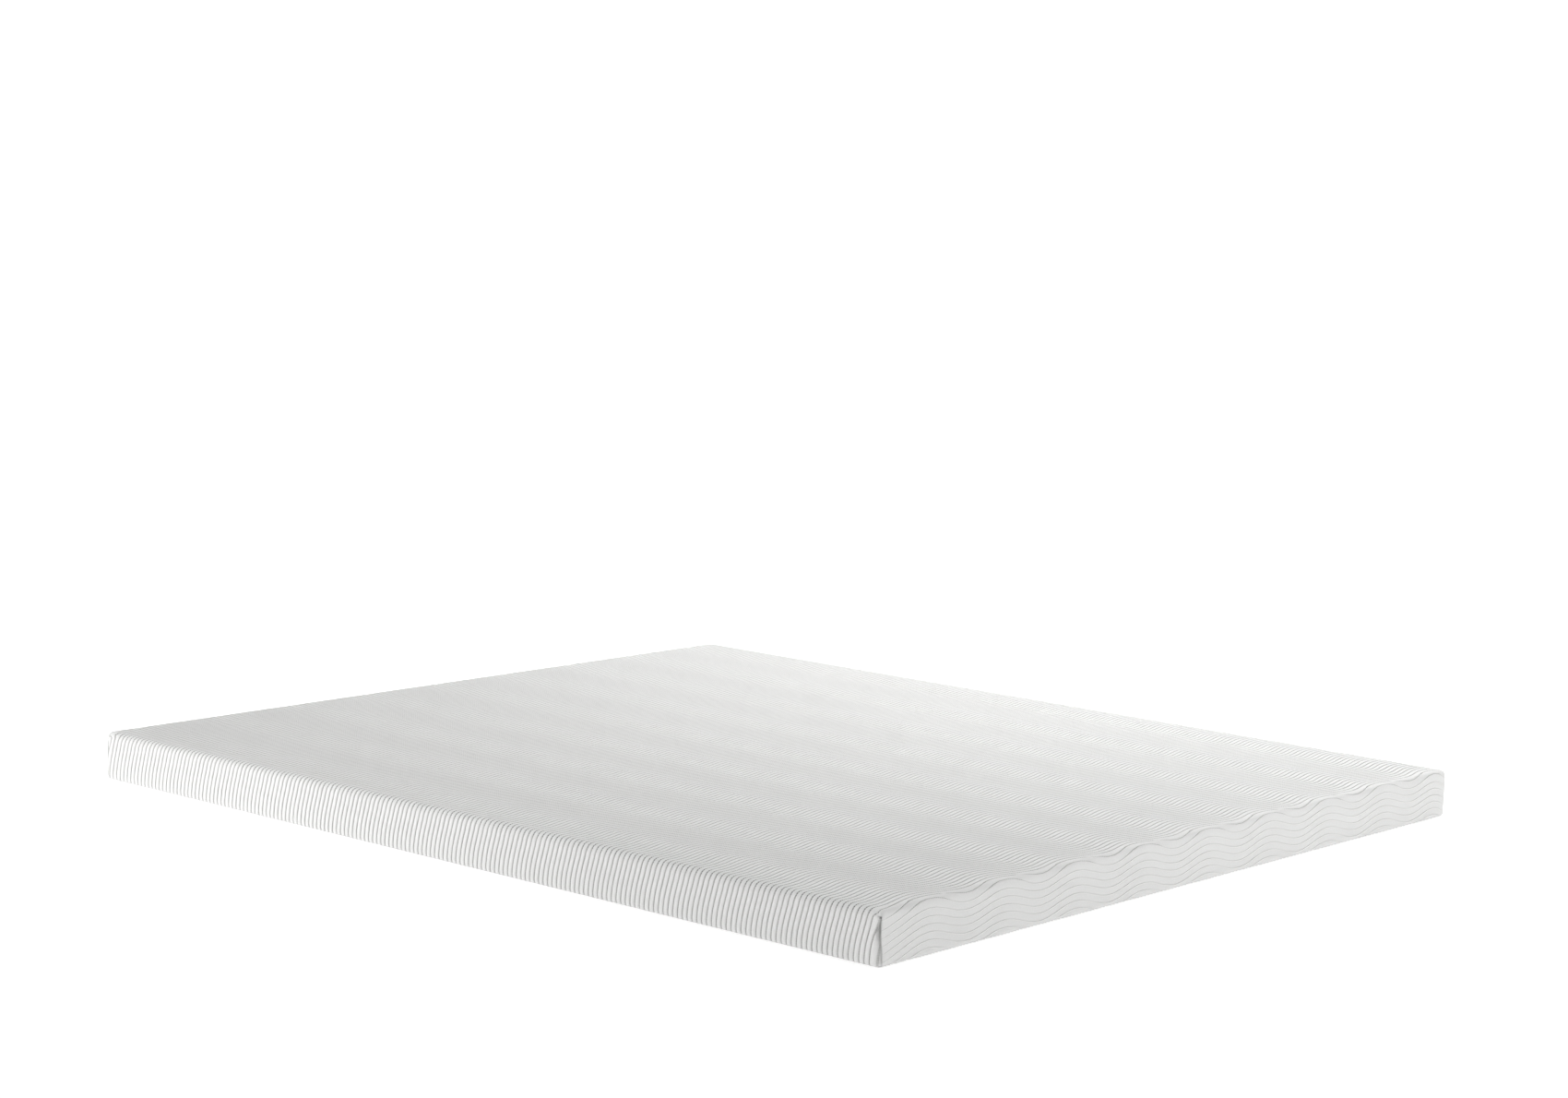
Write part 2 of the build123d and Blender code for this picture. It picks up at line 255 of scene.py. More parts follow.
SEAM_X = HALF_X - EDGE + EDGE * EIGHTH
SEAM_Y = HALF_Y - EDGE + EDGE * EIGHTH
REACH_X = HALF_X - EDGE + (EDGE + UNDER) * QUARTER + SIDE_RUN + RETURN
REACH_Y = HALF_Y - EDGE + (EDGE + UNDER) * QUARTER + SIDE_RUN + RETURN


def cloth_y(run):
    """Cloth distance along Y for a distance run over the ribs: on the ends they are stretched."""
    flat = HALF_Y - EDGE / 2
    past = np.maximum(np.abs(run) - flat, 0)
    return np.sign(run) * (np.minimum(np.abs(run), flat) + STRETCH * past)


def sway(sx, end):
    """How far the wave carries a rib towards the head end. Beside a corner the ends' ribs dip."""
    fade = 1 - smooth((np.abs(sx) - (REACH_X - RETURN - UNDER)) / UNDER)
    dip = DIP * np.exp((np.abs(sx) - SEAM_X) / DIP_REACH)
    return SWING * fade * np.cos(2 * math.pi * (sx - CREST) / WAVE) + end * dip


def rib_lines(steps):
    """Rib counts at which the cover has a row of points, at given steps over a rib and at finer
    ones on the ends."""
    flat = (HALF_Y - EDGE / 2) / PITCH
    last = math.ceil((flat + (REACH_Y - flat * PITCH) / STRETCH / PITCH) + SWING / PITCH)
    counts = []
    for n in range(-last, last):
        past = abs(n + 0.5) - flat
        counts.extend(n + step for step in (STEPS_TURN if past > -TURN_RIBS else steps))
    return np.array([*counts, last])


def columns():
    """Cloth distances across X at which the cover has a column of points, for half the width."""
    flat = HALF_X - EDGE
    marks = [*np.linspace(0, SLOT_X, COLUMNS_TOP)]
    at = flat
    for length, shares in (
        (EDGE * QUARTER, SHARES_OVER),
        (SIDE_RUN, SHARES_DOWN),
        (UNDER * QUARTER, SHARES_UNDER),
        (RETURN, SHARES_BACK),
    ):
        marks += [at + length * share for share in shares]
        at += length
    return np.array(marks)


def relief(sx, count, on_side, on_end, hem):
    """Height of the cloth over its plain surface at a rib count: thin sunk lines on the top, full
    cords on the sides, and on the ends lines that are shallower where the wave falls."""
    across = np.abs(2 * (count - np.floor(count)) - 1)
    line = np.clip(across * 5 - 4, 0, 1)
    top = RISE - LINE_TOP * line
    cord = (RISE + GROOVE) * (1 - across**4) ** 0.6 - GROOVE
    rising = 0.6 - 0.4 * np.sin(2 * math.pi * (sx - CREST) / WAVE)
    end = RISE - LINE_END * rising * line
    side = np.minimum(smooth(2.2 * on_side), 1 - on_end)
    return (top + (cord - top) * side + (end - top) * on_end) * (1 - hem)


def crisp_end(point, sy, on_side):
    """Make the turn from the top to the ends tighter than the turn to the sides."""
    push = CRISP * np.exp(-(((np.abs(sy) - SEAM_Y) / CRISP_REACH) ** 2)) * (1 - on_side)
    moved = point.copy()
    moved[..., 1] += np.sign(sy) * push
    moved[..., 2] += push
    return moved


def corner_tuck(point, sx, sy, on_side, on_end):
    """Square each upright corner and draw the cloth into its seam, wider beside the long sides.
    Lower down the seams lean in along the end, the front left one most. Depth and lean fade out
    at the floor. Gives the points, the share of relief left and how far each point is in the
    fold, less lower down: the weight of the painted shade in the fold."""
    sideways = on_side > on_end
    gap = np.where(sideways, SEAM_Y - np.abs(sy), SEAM_X - np.abs(sx))
    near = np.maximum(on_side, on_end)
    centre = np.array([HALF_X - EDGE, HALF_Y - EDGE])
    way = np.sign(point[..., :2])
    z = point[..., 2]
    arm = np.maximum(np.abs(point[..., :2]) - centre, 0)
    reach = np.hypot(arm[..., 0], arm[..., 1])
    angle = np.arctan2(arm[..., 1], arm[..., 0])
    share = np.clip(np.where(sideways, angle, QUARTER - angle) / EIGHTH, 0, 1)
    long, short = reach, reach * share
    square = np.stack([np.where(sideways, long, short), np.where(sideways, short, long)], axis=-1)
    inside = (arm > 0).all(axis=-1) & (near > 0)
    shift = SQUARE * (square - arm) * (near * inside)[..., None]
    depth = sum(more * smooth((z - start) / rise) for more, start, rise in SEAM_DEPTHS)
    wide = TUCK_WIDE * smooth((TUCK_TOP - z) / TUCK_FADE)
    sunk = np.where(sideways, smooth((wide - gap) / TUCK_SLOPE), smooth(1 - gap / LIP_WIDE)) * near
    shift -= (depth * sunk)[..., None] * np.array(SEAM_WAY)
    lean = np.where((way < 0).all(axis=-1), LEAN_NEAR, LEAN_FAR)
    lean = lean * smooth((LEAN_TOP - z) / LEAN_TOP) * near * smooth(z / SEAM_CLEAR)
    shift[..., 0] -= lean * np.exp(-gap / np.where(sideways, LEAN_REACH_SIDE, LEAN_REACH_END))
    moved = point.copy()
    moved[..., :2] += way * shift
    upper = 0.35 + 0.65 * smooth((z - 0.035) / 0.03)
    fold = smooth(2 * sunk) * upper * smooth((z - 0.002) / 0.010)
    return moved, 1 - near * np.exp(-((gap / SEAM_FLAT) ** 2)), fold


def cover_patch(sx, counts, slotted):
    """Points, quads, cloth coordinates, rib valleys and corner folds of the cover over some
    columns. Left out are faces across the slot, between a side and an end, and on the return
    those that the corner squeezes flat or turns over."""
    sx, count = np.meshgrid(sx, counts)
    beside = np.abs(sx) > SEAM_X + 1e-9
    end = smooth((np.abs(count) * PITCH - HALF_Y + DIP_START) / DIP_GROWTH)
    end = np.sign(count) * end * ~beside
    sy = np.clip(cloth_y(count * PITCH) + sway(sx, end), -REACH_Y, REACH_Y)
    held = beside & (np.abs(sy) > SEAM_Y)
    sy = np.where(held, np.sign(sy) * SEAM_Y, sy)
    down = sy - (HALF_Y - EDGE + EDGE * QUARTER)
    z = TOP - EDGE - down
    away = np.maximum(np.maximum(z - FOLD_Z[0], FOLD_Z[1] - z), 0)
    hem = (down > 0) * np.exp(-((away / HEM_FADE) ** 2))
    hem = hem * smooth(1 - (np.abs(sx) - SLOT_X) / SLOT_FADE)
    upper = np.ones(sy.shape, bool)
    shown = count
    if slotted:
        upper = z > ZIP_Z
        edge_z = np.where(upper, np.maximum(z, FOLD_Z[0]), np.minimum(z, FOLD_Z[1]))
        moved = np.where(down > 0, z - edge_z, 0)
        sy = sy + moved
        shown = count + moved / (PITCH * STRETCH)
    point, normal, on_side, on_end = place(sx, sy)
    point = crisp_end(point, sy, on_side)
    point, left, fold = corner_tuck(point, sx, sy, on_side, on_end)
    rest = 1 - FLOOR_PRESS * smooth((-normal[..., 2] - 0.55) / 0.4)
    turned = np.maximum(on_end, smooth((np.abs(sy) - HALF_Y + EDGE) / 0.010) * (on_side == 0))
    point += normal * (relief(sx, count, smooth(on_side * 3), turned, hem) * left * rest)[..., None]
    point[..., 2] = np.maximum(point[..., 2], FLOOR_GAP)
    rows, wide = sx.shape
    quads = grid_quads(rows, wide)
    span = np.abs(sy).ravel()[quads]
    past = (span.min(axis=1) > SEAM_Y - 1e-9) | (span.max(axis=1) > SEAM_Y + 0.004)
    web = past & (held.ravel()[quads].sum(axis=1) >= 2)
    split = upper.ravel()[quads]
    corner = point.reshape(-1, 3)[quads]
    facing = np.cross(corner[:, 2] - corner[:, 0], corner[:, 3] - corner[:, 1])[:, 2]
    turned_over = (corner[..., 2].max(axis=1) < 2 * FLOOR_GAP) & (facing > -1e-9)
    keep = ~web & ~turned_over & (split.all(axis=1) | ~split.any(axis=1))
    valley = np.flatnonzero(np.abs(count[:, 0] - np.round(count[:, 0])) < 1e-6)
    n = np.arange(rows * wide).reshape(rows, wide)[valley]
    sharp = np.stack([n[:, :-1].ravel(), n[:, 1:].ravel()], axis=1)
    cloth = np.stack([sx.ravel(), shown.ravel()], axis=1)
    return point.reshape(-1, 3), quads[keep], cloth, sharp, fold.ravel()


def hem_fold(sx, edge):
    """The cover's edge beside the zip, folded in and sewn down behind. edge is 0 above, 1 below."""
    up = 1 if edge == 0 else -1
    turn = np.linspace(0, math.pi, 9)
    y = HALF_Y - FOLD + FOLD * np.cos(turn)
    z = FOLD_Z[edge] - up * FOLD * np.sin(turn)
    y = np.append(y, [HALF_Y - 2 * FOLD] * 2)
    z = np.append(z, np.linspace(FOLD_Z[edge], HEM_END_Z[edge], 3)[1:])
    x, y = np.meshgrid(sx, y)
    _, z = np.meshgrid(sx, z)
    points = np.stack([x, y, z], axis=-1).reshape(-1, 3)
    quads = grid_quads(*x.shape)
    row = np.repeat(np.arange(len(x)), x.shape[1]) * 0.12
    cloth = np.stack([x.ravel(), row + 0.25], axis=1)
    return points, quads[:, ::-1] if up > 0 else quads, cloth


def make_cover():
    """The ribbed cover in one piece: top, sides, return under the edge and hems beside the zip."""
    half = columns()
    inner = half[half <= SLOT_X + 1e-9]
    outer = half[half >= SLOT_X - 1e-9]
    middle = np.concatenate([-inner[::-1], inner[1:]])
    fine, plain_top = rib_lines(STEPS_SIDE), rib_lines(STEPS_TOP)
    points, quads, cloth, sharp, fold = [], [], [], [], []
    total = 0
    for sx, counts, slotted in (
        (-outer[::-1], fine, False),
        (middle, plain_top, True),
        (outer, fine, False),
    ):
        p, q, c, s, f = cover_patch(sx, counts, slotted)
        points.append(p)
        quads.append(q + total)
        cloth.append(c)
        sharp.append(s + total)
        fold.append(f)
        total += len(p)
    for edge in (0, 1):
        p, q, c = hem_fold(middle, edge)
        points.append(p)
        quads.append(q + total)
        cloth.append(c)
        fold.append(np.zeros(len(p)))
        total += len(p)
    return mesh_piece(
        "cover_knit",
        np.concatenate(points),
        np.concatenate(quads),
        np.concatenate(cloth),
        np.concatenate(sharp),
        np.concatenate(fold),
    )


cover = make_cover()

# Seams

THREAD_SIDES = 5


def stitches(name, starts, ends, radius, side_way):
    """A piece with one plump thread from each start to its end."""
    starts, ends = np.asarray(starts), np.asarray(ends)
    share = np.array([0, 0.15, 0.5, 0.85, 1])
    paths = starts[:, None] + (ends - starts)[:, None] * share[None, :, None]
    radii = radius * np.array([0.3, 0.85, 1, 0.85, 0.3])
    return mesh_piece(name, *tubes(paths, radii, THREAD_SIDES, side_way))


def corner_stitches(corner, way_x, way_y):
    """Stitches lying in the seam down one corner."""
    lowest, highest, pitch, half_length = 0.0125, 0.078, 0.0042, 0.0016
    heights = np.arange(lowest, highest, pitch)
    ends = []
    for z in (heights - half_length, heights + half_length):
        sy = way_y * (HALF_Y - EDGE + EDGE * QUARTER + TOP - EDGE - z)
        sx = np.full_like(sy, way_x * SEAM_X)
        point, normal, on_side, on_end = place(sx, sy)
        point = crisp_end(point, sy, on_side)
        point, _, _ = corner_tuck(point, sx, sy, on_side, on_end)
        ends.append(point + normal * 0.0003)
    return stitches(f"stitches_{corner}", *ends, 0.0005, (way_x, -way_y, 0))


seams = {}
for corner, way_x, way_y in (
    ("front_left", -1, -1),
    ("front_right", 1, -1),
    ("back_left", -1, 1),
    ("back_right", 1, 1),
):
    seams[f"corner_seam_{corner}"] = corner_stitches(corner, way_x, way_y)

SEAM_GAP = 0.0012
PANEL_X = HALF_X - UNDER - RETURN - SEAM_GAP
PANEL_Y = HALF_Y - UNDER - RETURN - SEAM_GAP


def overlock():
    """Slanting stitches all round the base panel, over its edge and the cover's."""
    pitch, height, radius = 0.004, 0.0004, 0.00035
    starts, ends = [], []
    for turned, half_across, half_along in ((0, PANEL_X, PANEL_Y), (1, PANEL_Y, PANEL_X)):
        for way in (-1, 1):
            along = np.arange(-half_along, half_along, pitch)
            for list_of, out, slip in ((starts, -0.0016, 0.0), (ends, 0.0028, 0.0026)):
                across = np.full_like(along, way * (half_across + out))
                pair = (along + slip, across) if turned else (across, along + slip)
                list_of.append(np.stack([*pair, np.full_like(along, height)], axis=1))
    starts, ends = np.concatenate(starts), np.concatenate(ends)
    return stitches("stitches_base", starts, ends, radius, (0, 0, 1))


seams["base_seam_thread"] = overlock()


def topstitch(name, z):
    """A row of stitches along one side of the zip."""
    pitch, length, radius = 0.0036, 0.0031, 0.0004
    x = np.arange(-SLOT_X + 0.001, SLOT_X - 0.004, pitch)
    y = np.full_like(x, HALF_Y + radius / 2)
    starts = np.stack([x, y, np.full_like(x, z)], axis=1)
    return stitches(name, starts, starts + (length, 0, 0), radius, (0, 0, 1))


seams["zip_stitching_upper"] = topstitch("stitches_zip_upper", FOLD_Z[0])
seams["zip_stitching_lower"] = topstitch("stitches_zip_lower", FOLD_Z[1])

# Base panel, liner and foam

CORE_CORNER = 0.018
PANEL_CORNER = 0.004
RUN_PARTS = 24


def outline(low, high, corner, inset):
    """Points round a rectangle with rounded corners, moved in by an inset."""
    corner = max(corner - inset, 0)
    low_x, low_y = low[0] + inset + corner, low[1] + inset + corner
    high_x, high_y = high[0] - inset - corner, high[1] - inset - corner
    turn = np.linspace(0, QUARTER, 7)
    points = []
    for n, (x, y, x_next, y_next) in enumerate(
        (
            (high_x, high_y, low_x, high_y),
            (low_x, high_y, low_x, low_y),
            (low_x, low_y, high_x, low_y),
            (high_x, low_y, high_x, high_y),
        )
    ):
        a = turn + n * QUARTER
        points.append(np.stack([x + corner * np.cos(a), y + corner * np.sin(a)], axis=1))
        share = np.arange(1, RUN_PARTS)[:, None] / RUN_PARTS
        out = corner * np.array([math.cos(a[-1]), math.sin(a[-1])])
        start, end = np.array([x, y]) + out, np.array([x_next, y_next]) + out
        points.append(start + (end - start) * share)
    return np.concatenate(points)


def layered(name, low, high, corner, levels):
    """A slab or sheet through rounded outlines, each at a height and an inset."""
    rings = []
    for z, inset in levels:
        ring = outline(low, high, corner, inset)
        rings.append(np.concatenate([ring, np.full((len(ring), 1), z)], axis=1))
    points = np.concatenate(rings)
    count = len(rings[0])
    n = np.arange(len(points)).reshape(len(rings), count)
    beside = np.roll(n, -1, axis=1)
    quads = np.stack([n[:-1], beside[:-1], beside[1:], n[1:]], axis=-1).reshape(-1, 4)
    return mesh_piece(name, points, quads, points[:, :2])


def across_cap(z, first, half):
    """Levels from an edge to the middle of a flat face."""
    return [(z, first + (half - first) * t) for t in (0.02, 0.1, 0.35, 0.7, 1)]


def foam_slab(name, node):
    """A cut block of foam, with crisp edges and sides that stand out a little in the middle."""
    bulge, rim, wall_inset, rim_inset = 0.0008, 0.0015, 0.0012, 0.0018
    low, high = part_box(node)
    half = (high.x - low.x) / 2
    bottom = across_cap(low.z, 0.001, half)[::-1]
    top = across_cap(high.z, 0.001, half)
    tall = high.z - low.z
    walls = [(low.z, rim_inset), (low.z + rim, wall_inset)]
    for share in (0.2, 0.4, 0.6, 0.8):
        walls.append((low.z + tall * share, wall_inset - bulge * math.sin(math.pi * share)))
    walls += [(high.z - rim, wall_inset), (high.z, rim_inset)]
    return layered(name, low, high, CORE_CORNER, bottom + walls + top)


soft = {
    "memory_foam": foam_slab("foam_memory", "memory_foam"),
    "base_foam": foam_slab("foam_support", "base_foam"),
}


def liner_cap():
    """The upper part of the liner, drawn tight over the core."""
    low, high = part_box("liner_upper")
    rim = 0.010
    turn = np.linspace(0, QUARTER, 6)
    levels = [(low.z, 0.0003), (low.z + 0.03, 0.0001), (high.z - rim, 0.0001)]
    for a in turn[1:]:
        levels.append((high.z - rim + rim * math.sin(a), rim * (1 - math.cos(a)) + 0.0002))
    return layered("liner_cap", low, high, CORE_CORNER, levels + across_cap(high.z, rim, high.x))


def flat_sheet(name, low, high, corner):
    """A thin panel of cloth with a soft edge."""
    middle = (low.z + high.z) / 2
    bottom = across_cap(low.z, 0.002, high.x)[::-1]
    top = across_cap(high.z, 0.002, high.x)
    edge = [(low.z, 0.0008), (middle, 0.0001), (high.z, 0.0008)]
    return layered(name, low, high, corner, bottom + edge + top)


soft["liner_upper"] = liner_cap()
soft["liner_lower"] = flat_sheet("liner_panel", *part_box("liner_lower"), CORE_CORNER)
base_low, base_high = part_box("cover_base")
base_low.z += FLOOR_GAP
soft["cover_base"] = flat_sheet("base_panel", base_low, base_high, PANEL_CORNER)

# Zip

TAPE_PARTS = 60
TOOTH_PITCH = 0.0021
TOOTH_SIDES = 6


def zip_tape(name, node, way):
    """A woven tape with a raised cord along its inner edge."""
    low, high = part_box(node)
    near = low.z if way > 0 else high.z
    across = np.array([0, 0.0006, 0.0012, 0.0025, 0.009, 0.0165, 0.0173])
    thick = np.array([0.0002, 0.0005, 0.0005, 0.0004, 0.0004, 0.0004, 0.0002])
    z = near + way * across
    middle = (low.y + high.y) / 2
    ring_z = np.concatenate([z, z[::-1]])
    ring_y = middle + np.concatenate([thick, -thick[::-1]])
    x = np.linspace(low.x, high.x, TAPE_PARTS)
    grid_x, grid_z = np.meshgrid(x, np.append(ring_z, ring_z[0]), indexing="ij")
    _, grid_y = np.meshgrid(x, np.append(ring_y, ring_y[0]), indexing="ij")
    points = np.stack([grid_x, grid_y, grid_z], axis=-1).reshape(-1, 3)
    quads = grid_quads(*grid_x.shape)
    return mesh_piece(name, points, quads if way < 0 else quads[:, ::-1], points[:, [0, 2]])


def zip_coil(name, node, way):
    """A row of bent nylon teeth that reach just past the zip's line."""
    low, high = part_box(node)
    x = np.arange(low.x + 0.0006, high.x - 0.0016, TOOTH_PITCH)
    x += 0 if way > 0 else TOOTH_PITCH / 2
    back, front = low.y + 0.0006, high.y - 0.0005
    bend = [
        (0.0, back, 0.0026),
        (0.0001, front, 0.0026),
        (0.0002, front + 0.0001, 0.0010),
        (0.0004, front - 0.0002, -0.0001),
        (0.0007, (front + back) / 2, -0.0004),
        (0.0009, back, 0.0),
        (0.0010, back, 0.0025),
    ]
    paths = np.array([[(dx, y, ZIP_Z + way * dz) for dx, y, dz in bend]] * len(x))
    paths[:, :, 0] += x[:, None]
    radii = [0.00045] * 3 + [0.0005] * 2 + [0.00045] * 2
    return mesh_piece(name, *tubes(paths, radii, TOOTH_SIDES, (1, 0, 0)))


def zip_patch(name, node):
    """A small folded patch of cloth over the end of the tapes."""
    low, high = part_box(node)
    t = np.linspace(0, 1, 13)
    x, z = np.meshgrid(low.x + (high.x - low.x) * t, low.z + (high.z - low.z) * t)
    edge = np.minimum.reduce([x - low.x, high.x - x, z - low.z, high.z - z])
    y = low.y + 0.0002 + (high.y - low.y - 0.0002) * np.sqrt(np.clip(edge / 0.0016, 0, 1))
    points = np.stack([x, y, z], axis=-1).reshape(-1, 3)
    return mesh_piece(name, points, grid_quads(*x.shape), points[:, [0, 2]])


tapes = {
    "zip_tape_upper": zip_tape("tape_upper", "zip_tape_upper", 1),
    "zip_tape_lower": zip_tape("tape_lower", "zip_tape_lower", -1),
}
coils = {
    "zip_chain_upper": zip_coil("coil_upper", "zip_chain_upper", 1),
    "zip_chain_lower": zip_coil("coil_lower", "zip_chain_lower", -1),
}
patches = {
    "zip_end_patch_left": zip_patch("patch_left", "zip_end_patch_left"),
    "zip_end_patch_right": zip_patch("patch_right", "zip_end_patch_right"),
}

# Materials


class Paint:
    """A node material, built up one value at a time. A feed is a number, a colour or another
    node's output."""

    def __init__(self, name, roughness, sheen=0.0, specular=0.2):
        self.material = bpy.data.materials.new(name)
        self.material.use_nodes = True
        self.tree = self.material.node_tree
        self.shader = self.tree.nodes["Principled BSDF"]
        self.shader.inputs["Roughness"].default_value = roughness
        self.shader.inputs["Sheen Weight"].default_value = sheen
        self.shader.inputs["Specular IOR Level"].default_value = specular

    def feed(self, socket, value):
        """Link a socket to an output, or set it."""
        if isinstance(value, bpy.types.NodeSocket):
            self.tree.links.new(value, socket)
        else:
            socket.default_value = value

    def node(self, kind, **feeds):
        """A node with feeds to its sockets by name."""
        made = self.tree.nodes.new(kind)
        for name, value in feeds.items():
            self.feed(made.inputs[name], value)
        return made

    def math(self, work, a, b=0.0):
        """One step of reckoning on one or two feeds."""
        made = self.tree.nodes.new("ShaderNodeMath")
        made.operation = work
        self.feed(made.inputs[0], a)
        self.feed(made.inputs[1], b)
        return made.outputs[0]

    def mad(self, value, scale, base):
        """A value times a scale, plus a base."""
        made = self.tree.nodes.new("ShaderNodeMath")
        made.operation = "MULTIPLY_ADD"
        for socket, number in zip(made.inputs, (value, scale, base)):
            self.feed(socket, number)
        return made.outputs[0]

    def cloth(self):
        """The two cloth coordinates of the piece."""
        place_on = self.tree.nodes.new("ShaderNodeUVMap")
        place_on.uv_map = "cloth"
        parts = self.node("ShaderNodeSeparateXYZ", Vector=place_on.outputs[0])
        return parts.outputs[0], parts.outputs[1]

    def spot(self):
        """The place on the object, in metres."""
        return self.tree.nodes.new("ShaderNodeTexCoord").outputs["Object"]

    def ripple(self, run, period):
        """A wave from -1 to 1 along a distance."""
        return self.math("SINE", self.math("MULTIPLY", run, 2 * math.pi / period))

    def fade(self, value, start, end):
        """1 at start, 0 at end, eased."""
        made = self.node("ShaderNodeMapRange", Value=value)
        made.interpolation_type = "SMOOTHSTEP"
        made.inputs["From Min"].default_value = start
        made.inputs["From Max"].default_value = end
        made.inputs["To Min"].default_value = 1.0
        made.inputs["To Max"].default_value = 0.0
        return made.outputs[0]

    def noise(self, scale, detail=2.0):
        """Fractal noise over the object, from 0 to 1."""
        made = self.node("ShaderNodeTexNoise", Vector=self.spot(), Scale=scale, Detail=detail)
        return made.outputs[0]

    def blend(self, share, first, second):
        """A colour between two."""
        made = self.tree.nodes.new("ShaderNodeMix")
        made.data_type = "RGBA"
        self.feed(made.inputs[0], share)
        for socket, color in ((made.inputs[6], first), (made.inputs[7], second)):
            self.feed(socket, color if isinstance(color, bpy.types.NodeSocket) else (*color, 1))
        return made.outputs[2]

    def finish(self, color, height, roughness=None):
        """Set the colour and the fine relief, in metres."""
        self.feed(self.shader.inputs["Base Color"], color)
        bump = self.node("ShaderNodeBump", Height=height, Distance=1.0, Strength=1.0)
        self.tree.links.new(bump.outputs[0], self.shader.inputs["Normal"])
        if roughness is not None:
            self.feed(self.shader.inputs["Roughness"], roughness)
        return self.material


def ribbed_knit():
    """Thick white knit: fine loops on each rib and a sunk line of stitches between the ribs,
    darkened with painted shade of the groove. The lines are thinner on the ends, and fainter on
    the sides and where the wave falls on the ends, where their painted shade follows the wave.
    Painted light pales the rising half of each wave off the ends, and a painted highlight lies on
    the ridge below each line of the ends."""
    paint = Paint("ribbed_knit", 0.9, sheen=0.15)
    run, count = paint.cloth()
    x, y, z = paint.node("ShaderNodeSeparateXYZ", Vector=paint.spot()).outputs
    across = paint.math("ABSOLUTE", x)
    along = paint.math("ABSOLUTE", y)
    out = paint.math("ABSOLUTE", run)

    # Where the cloth is: the sides, the ends with the return under them, and the ends' walls
    sides = paint.fade(out, HALF_X + 0.008, HALF_X - 0.006)
    round_side = paint.fade(out, HALF_X + 0.0005, HALF_X - 0.0015)
    past_edge = paint.fade(along, HALF_Y - 0.0095, HALF_Y - EDGE)
    ends = paint.math("MAXIMUM", past_edge, paint.fade(z, 0.010, 0.020))
    ends = paint.math("MULTIPLY", ends, paint.mad(round_side, -1.0, 1.0))
    on_ends = paint.math("MULTIPLY", ends, paint.fade(z, TOP - 0.010, TOP - 0.002))
    rising = paint.mad(paint.ripple(paint.math("SUBTRACT", run, CREST), WAVE), -0.4, 0.6)

    # Dashed line between two ribs: the stitches' own darker yarn, and painted shade of the groove
    turn = paint.math("FRACT", paint.math("ADD", count, 0.5))
    beyond = paint.math("SUBTRACT", turn, 0.5)
    from_line = paint.math("ABSOLUTE", beyond)
    dash = paint.mad(paint.ripple(run, 0.0042), paint.mad(sides, -0.2, 0.4), 0.7)
    line = paint.fade(paint.math("DIVIDE", from_line, paint.mad(ends, -0.10, 0.15)), 0.35, 1.0)
    dashes = paint.math("MULTIPLY", line, dash)
    # How dark the line is: on the ends its painted shade shows where the wave rises and fades where
    # it falls; fainter on the sides
    strength = paint.mad(on_ends, paint.mad(rising, 0.50, -1.0), 1.0)
    strength = paint.math("MULTIPLY", paint.mad(sides, -0.62, 1.0), strength)

    # Fine relief: loops, fuzz and the sunk dashes
    fuzz = paint.noise(900.0)
    loops = paint.math("MULTIPLY", paint.ripple(run, 0.0019), paint.ripple(count, 1 / 7))
    height = paint.math("MULTIPLY", loops, 0.00016)
    height = paint.math("ADD", height, paint.math("MULTIPLY", fuzz, 0.00012))
    height = paint.math("SUBTRACT", height, paint.math("MULTIPLY", dashes, 0.0005))

    # Colour of the yarn. Painted light makes the rising half of each wave paler off the ends, and a
    # painted highlight lies on the ridge below a line of the ends
    painted_light_color = (0.86, 0.86, 0.85)
    color = paint.blend(paint.noise(3.0, 3.0), (0.66, 0.66, 0.655), (0.71, 0.71, 0.705))
    color = paint.blend(paint.math("MULTIPLY", fuzz, 0.25), color, (0.58, 0.58, 0.57))
    color = paint.blend(paint.math("MULTIPLY", paint.noise(330.0), 0.6), color, (0.56, 0.56, 0.55))
    # Painted light: the rising half of each wave paler, off the ends
    painted_wave_light = paint.math("MULTIPLY", rising, paint.mad(ends, -0.13, 0.13))
    color = paint.blend(painted_wave_light, color, painted_light_color)
    # Painted highlight on the yarn ridge just below each line of the ends, where the wave rises
    below = paint.math("MULTIPLY", paint.math("SIGN", y), beyond)
    painted_ridge_highlight = paint.fade(paint.math("ABSOLUTE", paint.math("SUBTRACT", below, 0.11)), 0.0, 0.08)
    painted_ridge_highlight = paint.math("MULTIPLY", painted_ridge_highlight, paint.math("MULTIPLY", on_ends, rising))
    color = paint.blend(paint.math("MULTIPLY", painted_ridge_highlight, 0.7), color, painted_light_color)
    # The dark dashes: the stitches' own colour plus painted shade in the groove
    color = paint.blend(paint.math("MULTIPLY", dashes, strength), color, (0.19, 0.19, 0.18))

    # Shade in the corner folds
    folded = paint.tree.nodes.new("ShaderNodeAttribute")
    folded.attribute_name = "fold"
    # Painted shade beside the seams near the top of each end
    beside = paint.fade(along, HALF_Y - 0.0015, HALF_Y - 0.0035)
    for limit in (
        paint.fade(along, HALF_Y + 0.0004, HALF_Y + 0.0010),
        paint.fade(across, HALF_X - 0.006, HALF_X - 0.010),
        paint.fade(z, TOP - EDGE, TOP - 0.006),
    ):
        beside = paint.math("MULTIPLY", beside, limit)
    shade = paint.math("MAXIMUM", folded.outputs["Fac"], paint.math("MULTIPLY", beside, 0.7))
    color = paint.blend(paint.math("MULTIPLY", shade, 0.6), color, (0.22, 0.22, 0.21))
    return paint.finish(color, height)


